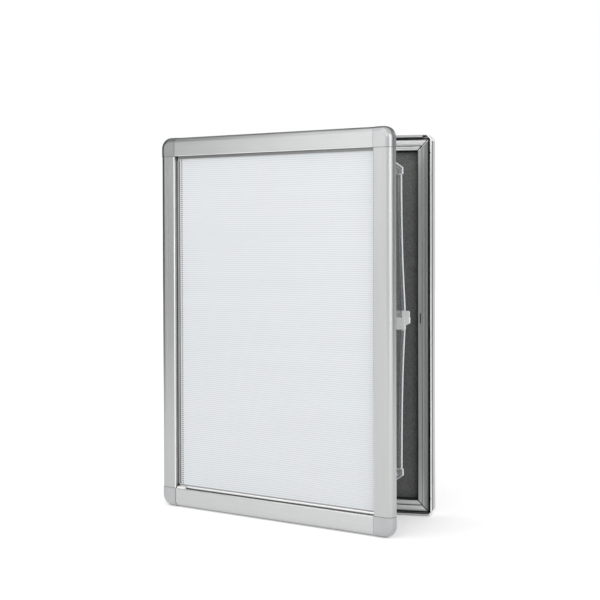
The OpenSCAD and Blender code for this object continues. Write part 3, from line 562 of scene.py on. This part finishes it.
class PosterCaseMetal(bpy.types.PropertyGroup):
    colour: bpy.props.FloatVectorProperty(
        name="Aluminium", description="Colour of the anodised profiles", subtype="COLOR",
        size=3, min=0.0, max=1.0, default=(0.5, 0.508, 0.505))
    roughness: bpy.props.FloatProperty(
        name="Roughness", description="How satin the profiles are", subtype="FACTOR",
        min=0.1, max=0.9, default=0.34)
    streaks: bpy.props.FloatProperty(
        name="Die lines", description="Contrast of the lines along the profiles",
        subtype="FACTOR", min=0.0, max=0.3, default=0.05)
    line_depth: bpy.props.FloatProperty(
        name="Line depth", description="How deep the lines along the profiles are",
        subtype="FACTOR", min=0.0, max=1.0, default=0.6)
    # Strength of the painted shade in grooves, at the case's outer corner and in its mitre joints
    groove_shade: bpy.props.FloatProperty(
        name="Painted groove shade", description="How dark the metal is in grooves and corners",
        subtype="FACTOR", min=0.0, max=1.0, default=0.85)
    # Strength of the painted shade on the case's shoulder
    shoulder_shade: bpy.props.FloatProperty(
        name="Painted shoulder shade", description="How dark the case's shoulder is beside its gutter",
        subtype="FACTOR", min=0.0, max=1.0, default=0.95)
    seam_dark: bpy.props.FloatProperty(
        name="Seams", description="How dark the door's profiles are at its corner pieces",
        subtype="FACTOR", min=0.0, max=1.0, default=0.55)
    # Strength of the painted highlights on the door's inner edge, the case's rim and the mitres'
    # edges
    edge_highlight: bpy.props.FloatProperty(
        name="Painted edge highlights", description="How bright the painted highlights on the edges are",
        subtype="FACTOR", min=0.0, max=1.0, default=1.0)


class PosterCaseCorners(bpy.types.PropertyGroup):
    colour: bpy.props.FloatVectorProperty(
        name="Corners", description="Colour of the door's moulded corners", subtype="COLOR",
        size=3, min=0.0, max=1.0, default=(0.465, 0.475, 0.478))
    roughness: bpy.props.FloatProperty(
        name="Roughness", description="How matt the corners are", subtype="FACTOR",
        min=0.1, max=0.9, default=0.32)


class PosterCasePanel(bpy.types.PropertyGroup):
    colour: bpy.props.FloatVectorProperty(
        name="Panel", description="Colour of the twin-wall panel", subtype="COLOR",
        size=3, min=0.0, max=1.0, default=(0.835, 0.838, 0.86))
    web_contrast: bpy.props.FloatProperty(
        name="Web lines", description="How strongly the webs show", subtype="FACTOR",
        min=0.0, max=0.5, default=0.17)
    pitch: bpy.props.FloatProperty(
        name="Web pitch", description="Distance from one web to the next", unit="LENGTH",
        min=0.001, max=0.01, default=0.0025)
    dot_inset: bpy.props.FloatProperty(
        name="Flute ends", description="From the panel's left edge to the dots of its open flutes",
        unit="LENGTH", min=0.003, max=0.02, default=0.006)


class PosterCaseFelt(bpy.types.PropertyGroup):
    colour: bpy.props.FloatVectorProperty(
        name="Felt", description="Colour of the felt board", subtype="COLOR",
        size=3, min=0.0, max=1.0, default=(0.13, 0.133, 0.131))


class PosterCaseSteel(bpy.types.PropertyGroup):
    colour: bpy.props.FloatVectorProperty(
        name="Steel", description="Colour of the plated hinges and screws", subtype="COLOR",
        size=3, min=0.0, max=1.0, default=(0.55, 0.56, 0.58))


class PosterCaseBow(bpy.types.PropertyGroup):
    depth: bpy.props.FloatProperty(
        name="Bow", description="How far the cover's free corners stand forward of its middle",
        unit="LENGTH", min=0.0, max=0.02, default=0.0062)
    waist: bpy.props.FloatProperty(
        name="Waist", description="How far the free corners stand back towards the hinge",
        unit="LENGTH", min=0.0, max=0.005, default=0.0022)
    height: bpy.props.FloatProperty(
        name="Bow height",
        description="Height at which the cover's free edge stands furthest back",
        unit="LENGTH", min=0.2, max=0.3, default=0.249)
    spread: bpy.props.FloatProperty(
        name="Bow spread", description="Distance up and down over which the edge bends",
        unit="LENGTH", min=0.02, max=0.2, default=0.075)
    edge_bevel: bpy.props.FloatProperty(
        name="Edge bevel", description="Bevel on the front edges of the clear strips and clips",
        unit="LENGTH", min=0.0002, max=0.001, default=0.0007)


class PosterCaseStudio(bpy.types.PropertyGroup):
    focal: bpy.props.FloatProperty(
        name="Focal length", description="In image widths", min=0.5, max=6.0,
        default=1314.7645 / PICTURE_SIZE)
    eye: bpy.props.FloatVectorProperty(
        name="Camera place", description="Where the camera stands", subtype="TRANSLATION",
        size=3, default=(0.439968, -1.5997187, 0.3480537))
    angles: bpy.props.FloatVectorProperty(
        name="Camera angles", description="Turn, tilt and roll of the camera", subtype="EULER",
        size=3, default=tuple(math.radians(a) for a in (14.3572, -1.046, 0.1452)))
    centre: bpy.props.FloatVectorProperty(
        name="Picture centre", description="Where the camera's axis meets the 600 pixel picture",
        size=2, default=(322.6186, 257.2288))
    ambient: bpy.props.FloatProperty(
        name="Ambient", description="Strength of the room's light", min=0.0, max=2.0,
        default=0.78)
    left_lamp: bpy.props.FloatProperty(
        name="Left lamp", description="Power of the lamp at the front left", unit="POWER",
        min=0.0, max=500.0, default=4.6)
    front_lamp: bpy.props.FloatProperty(
        name="Front lamp", description="Power of the lamp over the camera", unit="POWER",
        min=0.0, max=500.0, default=8.0)
    right_lamp: bpy.props.FloatProperty(
        name="Right lamp", description="Power of the lamp at the front right", unit="POWER",
        min=0.0, max=500.0, default=9.0)
    top_lamp: bpy.props.FloatProperty(
        name="Top lamp", description="Power of the lamp over the case", unit="POWER",
        min=0.0, max=500.0, default=5.0)
    # A smaller lift round the case than further off paints a soft shade on the floor round it
    floor_lift: bpy.props.FloatProperty(
        name="Floor white", description="Lifts the floor round the case towards white",
        min=0.0, max=1.0, default=0.36)
    floor_far: bpy.props.FloatProperty(
        name="Far floor white", description="Lifts the floor further off towards white",
        min=0.0, max=1.0, default=0.44)


SETTINGS = (("poster_case_metal", PosterCaseMetal), ("poster_case_corners", PosterCaseCorners),
            ("poster_case_panel", PosterCasePanel), ("poster_case_felt", PosterCaseFelt),
            ("poster_case_steel", PosterCaseSteel), ("poster_case_bow", PosterCaseBow),
            ("poster_case_studio", PosterCaseStudio))


# Operators

class PosterCaseFinishFrame(bpy.types.Operator):
    """Finishes the aluminium profiles and the back sheet"""
    bl_idname = "poster_case.finish_frame"
    bl_label = "Finish the profiles"

    def execute(self, context):
        metal = context.scene.poster_case_metal
        # The level profiles are painted lighter than the upright ones, for how the light falls on
        # them
        for names, name, level, turn, light_tone, marks, reach in (
                (CASE_SIDES, "case_aluminium_upright", False, 0.0, 1.0, case_light_and_mitres, 0.004),
                (CASE_LEVELS, "case_aluminium_level", True, 0.0, 1.3, case_light_and_mitres, 0.004),
                (DOOR_SIDES, "door_aluminium_upright", False, DOOR_ANGLE, 1.0, door_light_and_seams, 0.002),
                (DOOR_LEVELS, "door_aluminium_level", True, DOOR_ANGLE, 1.15, door_light_and_seams, 0.002)):
            dress(names, extruded_aluminium(name, metal, level, turn, light_tone, marks, reach))
        dress(("case_corner_keys",), sawn_aluminium())
        dress(("back_panel",), rolled_sheet(metal))
        return {"FINISHED"}


class PosterCaseFinishCorners(bpy.types.Operator):
    """Finishes the door's moulded corner pieces"""
    bl_idname = "poster_case.finish_corners"
    bl_label = "Finish the corners"

    def execute(self, context):
        dress(DOOR_CORNERS, corner_plastic(context.scene.poster_case_corners))
        return {"FINISHED"}


class PosterCaseFinishPanel(bpy.types.Operator):
    """Finishes the twin-wall panel with lines at its webs"""
    bl_idname = "poster_case.finish_panel"
    bl_label = "Finish the panel"

    def execute(self, context):
        panel = context.scene.poster_case_panel
        low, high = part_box("fluted_panel")
        left_edge = min(corner.x for corner in shut_corners("fluted_panel"))
        dress(("fluted_panel",), twin_wall_white(panel, (low.z + high.z) / 2, left_edge, low.z))
        return {"FINISHED"}


class PosterCaseFinishFelt(bpy.types.Operator):
    """Finishes the felt board"""
    bl_idname = "poster_case.finish_felt"
    bl_label = "Finish the felt"

    def execute(self, context):
        dress(("felt_board",), speckled_felt(context.scene.poster_case_felt))
        return {"FINISHED"}


class PosterCaseFinishFittings(bpy.types.Operator):
    """Finishes the hinges, screws, seals and mouldings"""
    bl_idname = "poster_case.finish_fittings"
    bl_label = "Finish the fittings"

    def execute(self, context):
        dress(STEEL_PARTS, zinc_steel(context.scene.poster_case_steel))
        dress(SEALS, black_rubber())
        dress(CLEAR_PARTS, clear_plastic())
        dress(WHITE_PARTS, white_moulding())
        return {"FINISHED"}


class PosterCaseBowCover(bpy.types.Operator):
    """Replaces the clear cover's sheet, strips and clips by bowed ones with white edges"""
    bl_idname = "poster_case.bow_cover"
    bl_label = "Bow the cover"

    def execute(self, context):
        settings = context.scene.poster_case_bow
        edge = clear_plastic_edge()
        lattice = bow_lattice(settings)
        clip = frosted_clip()
        for name in BOWED_PARTS:
            piece = merged_copy(name)
            if name.startswith("cover_clip"):
                piece.data.materials[0] = clip
            if name != "cover_sheet":
                bevel_front(settings.edge_bevel)
            cut_into_rows()
            whiten_edges(piece, edge)
            bend(piece, lattice)
            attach(piece, "cover")
            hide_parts(name)
        bpy.data.objects.remove(lattice)
        return {"FINISHED"}


class PosterCaseBuildStage(bpy.types.Operator):
    """Builds the floor, the world, the lamps and the camera"""
    bl_idname = "poster_case.build_stage"
    bl_label = "Build the stage"

    def execute(self, context):
        studio = context.scene.poster_case_studio
        build_floor(studio)
        build_world(studio)
        build_lamps(studio)
        for card in CARDS:
            add_card(*card)
        build_camera(studio)
        context.scene.view_settings.view_transform = "Standard"
        return {"FINISHED"}


# Bowed cover

COVER_ACROSS = Vector((math.cos(COVER_ANGLE), -math.sin(COVER_ANGLE), 0.0))
COVER_FORWARD = Vector((-math.sin(COVER_ANGLE), -math.cos(COVER_ANGLE), 0.0))
# The size of the lattice that bends the cover, and its rows from foot to top
COVER_LATTICE = Vector((0.308, 0.04, 0.4))
COVER_ROWS = 33
# Height over which the cover stays flat, where the latch holds it
COVER_STILL = 0.012
MERGE_DISTANCE = 0.000001
FLAT_ANGLE = math.radians(0.5)
SMOOTH_ANGLE = math.radians(20.0)
# How far behind the foremost corner an edge still belongs to the front, and how squarely a face
# has to face forward or back not to count as a sawn edge
FRONT_DEPTH = 0.00005
SQUARE_FACING = 0.95


def bow_lattice(settings):
    """A lattice over the cover whose free side is moved forward at the top and the bottom."""
    axis = Vector(cover_joint["pos_m"])
    centre = axis + COVER_ACROSS * COVER_LATTICE.x / 2
    bpy.ops.object.select_all(action="DESELECT")
    bpy.ops.object.add(type="LATTICE", location=centre, rotation=(0.0, 0.0, -COVER_ANGLE))
    lattice = bpy.context.object
    lattice.scale = COVER_LATTICE
    cage = lattice.data
    cage.points_u, cage.points_v, cage.points_w = 2, 2, COVER_ROWS
    cage.interpolation_type_u = cage.interpolation_type_v = "KEY_LINEAR"
    cage.interpolation_type_w = "KEY_LINEAR"
    for point in cage.points:
        if point.co.x > 0.0:
            height = centre.z + point.co.z * COVER_LATTICE.z - settings.height
            share = math.tanh((math.hypot(height, COVER_STILL) - COVER_STILL) / settings.spread)
            point.co_deform.x -= settings.waist * share / COVER_LATTICE.x
            point.co_deform.y -= settings.depth * share / COVER_LATTICE.y
    return lattice


def merged_copy(name):
    """A copy of a CAD node's mesh with its loose triangles merged, left in edit mode."""
    piece = bpy.data.objects.new("bowed_" + name, nodes[name].data.copy())
    bpy.context.scene.collection.objects.link(piece)
    bpy.ops.object.select_all(action="DESELECT")
    piece.select_set(True)
    bpy.context.view_layer.objects.active = piece
    bpy.ops.object.mode_set(mode="EDIT")
    bpy.ops.mesh.select_all(action="SELECT")
    bpy.ops.mesh.remove_doubles(threshold=MERGE_DISTANCE)
    bpy.ops.mesh.dissolve_limited(angle_limit=FLAT_ANGLE)
    return piece


def bevel_front(width):
    """Bevels the edges round the front faces of the strip or clip in edit mode."""
    piece = bpy.context.object
    bpy.ops.mesh.select_all(action="DESELECT")
    bpy.ops.object.mode_set(mode="OBJECT")
    mesh = piece.data
    front = max(corner.co.dot(COVER_FORWARD) for corner in mesh.vertices)
    for edge in mesh.edges:
        edge.select = all(mesh.vertices[i].co.dot(COVER_FORWARD) > front - FRONT_DEPTH
                          for i in edge.vertices)
    bpy.ops.object.mode_set(mode="EDIT")
    bpy.ops.mesh.select_mode(type="EDGE")
    bpy.ops.mesh.bevel(offset=width, segments=2, affect="EDGES")


def cut_into_rows():
    """Cuts the piece in edit mode at each of the lattice's rows, so that it can bend."""
    foot = cover_joint["pos_m"][2] - COVER_LATTICE.z / 2
    for row in range(COVER_ROWS):
        height = foot + row * COVER_LATTICE.z / (COVER_ROWS - 1)
        bpy.ops.mesh.select_all(action="SELECT")
        bpy.ops.mesh.bisect(plane_co=(0.0, 0.0, height), plane_no=(0.0, 0.0, 1.0))
    bpy.ops.object.mode_set(mode="OBJECT")


def whiten_edges(piece, edge):
    """Gives the faces of a clear piece that don't face forward or back a sawn edge's look."""
    piece.data.materials.append(edge)
    for face in piece.data.polygons:
        if abs(face.normal.dot(COVER_FORWARD)) < SQUARE_FACING:
            face.material_index = 1


def bend(piece, lattice):
    """Bends a piece with the lattice and smooths it where its faces meet at a low angle."""
    bpy.ops.object.select_all(action="DESELECT")
    piece.select_set(True)
    bpy.context.view_layer.objects.active = piece
    bpy.ops.object.modifier_add(type="LATTICE")
    piece.modifiers[0].object = lattice
    bpy.ops.object.modifier_apply(modifier=piece.modifiers[0].name)
    bpy.ops.object.shade_smooth_by_angle(angle=SMOOTH_ANGLE)


# Stage

def background_ray(tree):
    """1 for camera, glossy and transmission rays, 0 for the rest."""
    path = tree.nodes.new("ShaderNodeLightPath")
    total = path.outputs["Is Camera Ray"]
    for name in ("Is Glossy Ray", "Is Transmission Ray"):
        node = tree.nodes.new("ShaderNodeMath")
        node.operation = "MAXIMUM"
        tree.links.new(total, node.inputs[0])
        tree.links.new(path.outputs[name], node.inputs[1])
        total = node.outputs["Value"]
    return total


# Distances from the case between which the floor's lift changes; the smaller lift near the case
# paints a soft shade round it
FLOOR_NEAR, FLOOR_FAR = 0.35, 1.1


def build_floor(studio):
    bpy.ops.object.select_all(action="DESELECT")
    bpy.ops.mesh.primitive_plane_add(size=12.0, location=(0.0, 0.0, 0.0))
    floor = bpy.context.object
    floor.name = "studio_floor"
    finish = Finish("studio_floor_white")
    coordinates = finish.add("ShaderNodeTexCoord")
    distance = finish.add("ShaderNodeVectorMath", operation="LENGTH")
    finish.link(coordinates.outputs["Object"], distance.inputs[0])
    rise = finish.spread(distance.outputs["Value"], studio.floor_lift, studio.floor_far,
                         FLOOR_NEAR, FLOOR_FAR)
    lift = finish.maths("MULTIPLY", background_ray(finish.tree), rise)
    finish.link(lift, finish.shader.inputs["Emission Strength"])
    finish.set(Base_Color=(*grey(0.82), 1.0), Roughness=0.9, Specular_IOR_Level=0.1,
               Emission_Color=(1.0, 1.0, 1.0, 1.0))
    floor.data.materials.append(finish.material)


def build_world(studio):
    world = bpy.data.worlds.new("studio_world")
    bpy.context.scene.world = world
    world.use_nodes = True
    tree = world.node_tree
    background = tree.nodes["Background"]
    background.inputs["Color"].default_value = (1.0, 1.0, 1.0, 1.0)
    strength = tree.nodes.new("ShaderNodeMapRange")
    strength.inputs["To Min"].default_value = studio.ambient
    strength.inputs["To Max"].default_value = 1.0
    tree.links.new(background_ray(tree), strength.inputs["Value"])
    tree.links.new(strength.outputs["Result"], background.inputs["Strength"])


def add_lamp(name, energy, size, place, aim):
    """A large soft rectangular lamp."""
    lamp = bpy.data.lights.new(name, "AREA")
    lamp.energy = energy
    lamp.shape = "RECTANGLE"
    lamp.size, lamp.size_y = size
    holder = bpy.data.objects.new(name, lamp)
    bpy.context.scene.collection.objects.link(holder)
    holder.location = place
    holder.rotation_euler = (Vector(aim) - holder.location).to_track_quat("-Z", "Y").to_euler()


# Each lamp's name, size, place and the height it aims at over the origin
LAMPS = (("left_lamp", (1.0, 1.9), (-1.8, -1.6, 1.15), 0.6),
         ("front_lamp", (2.0, 0.7), (0.1, -2.4, 1.5), 0.4),
         ("right_lamp", (1.4, 1.6), (1.75, -1.75, 0.95), 0.5),
         ("top_lamp", (2.2, 1.4), (-0.8, -0.9, 2.1), 0.25))


def build_lamps(studio):
    for name, size, place, height in LAMPS:
        add_lamp(name, getattr(studio, name), size, place, (0.0, 0.0, height))


def add_card(name, value, size, place, turn):
    """A grey card that only reflections see, as a studio uses to draw the edges of metal."""
    bpy.ops.object.select_all(action="DESELECT")
    bpy.ops.mesh.primitive_plane_add(size=1.0, location=place,
                                     rotation=tuple(math.radians(a) for a in turn))
    card = bpy.context.object
    card.name = name
    card.scale = (size[0], size[1], 1.0)
    bpy.ops.object.transform_apply(location=True, rotation=True, scale=True)
    card.visible_camera = card.visible_diffuse = card.visible_shadow = False
    card.visible_transmission = card.visible_volume_scatter = False
    finish = Finish(name)
    finish.set(Base_Color=(*grey(value), 1.0), Roughness=1.0)
    card.data.materials.append(finish.material)


# Each card's name, grey, size, place and turn in degrees
CARDS = (("left_card", 0.05, (2.5, 2.2), (-1.5, 0.75, 1.1), (90.0, 0.0, 90.0)),
         ("left_front_card", 0.6, (0.45, 2.2), (-1.5, -0.725, 1.1), (90.0, 0.0, 90.0)),
         ("left_low_card", 0.38, (0.45, 0.32), (-1.49, -0.725, 0.16), (90.0, 0.0, 90.0)),
         ("front_card", 0.5, (0.5, 2.2), (0.4, -2.2, 1.1), (90.0, 0.0, 0.0)),
         ("right_card", 0.38, (1.9, 2.2), (1.7, 0.4, 1.1), (90.0, 0.0, 90.0)),
         ("upper_card", 0.1, (3.2, 2.4), (0.1, 1.6, 2.0), (0.0, 0.0, 0.0)))


def build_camera(studio):
    data = bpy.data.cameras.new("camera")
    data.sensor_width = 36.0
    data.lens = studio.focal * data.sensor_width
    data.shift_x = 0.5 - studio.centre[0] / PICTURE_SIZE
    data.shift_y = studio.centre[1] / PICTURE_SIZE - 0.5
    data.clip_start, data.clip_end = 0.05, 50.0
    camera = bpy.data.objects.new("camera", data)
    bpy.context.scene.collection.objects.link(camera)
    turn, tilt, roll = studio.angles
    rotation = (Matrix.Rotation(turn, 4, "Z") @ Matrix.Rotation(tilt, 4, "X")
                @ Matrix.Rotation(roll, 4, "Y") @ Matrix.Rotation(math.pi / 2, 4, "X"))
    camera.matrix_world = Matrix.Translation(studio.eye) @ rotation
    bpy.context.scene.camera = camera


OPERATORS = (PosterCaseFinishFrame, PosterCaseFinishCorners, PosterCaseFinishPanel,
             PosterCaseFinishFelt, PosterCaseFinishFittings, PosterCaseBowCover,
             PosterCaseBuildStage)


class PosterCasePanelUI(bpy.types.Panel):
    """Lists the poster case's operators and their settings"""
    bl_idname = "VIEW3D_PT_poster_case"
    bl_label = "Poster case"
    bl_space_type = "VIEW_3D"
    bl_region_type = "UI"
    bl_category = "Poster case"

    def draw(self, context):
        for name, group in SETTINGS:
            box = self.layout.box()
            for key in group.__annotations__:
                box.prop(getattr(context.scene, name), key)
        for operator in OPERATORS:
            self.layout.operator(operator.bl_idname)


CLASSES = (*(group for _, group in SETTINGS), *OPERATORS, PosterCasePanelUI)


def register():
    for item in CLASSES:
        bpy.utils.register_class(item)
    for name, group in SETTINGS:
        setattr(bpy.types.Scene, name, bpy.props.PointerProperty(type=group))


def unregister():
    for name, _ in SETTINGS:
        delattr(bpy.types.Scene, name)
    for item in reversed(CLASSES):
        bpy.utils.unregister_class(item)


def main():
    register()
    bpy.ops.poster_case.finish_frame()
    bpy.ops.poster_case.finish_corners()
    bpy.ops.poster_case.finish_panel()
    bpy.ops.poster_case.finish_felt()
    bpy.ops.poster_case.finish_fittings()
    bpy.ops.poster_case.bow_cover()
    bpy.ops.poster_case.build_stage()


if __name__ == "__main__":
    main()
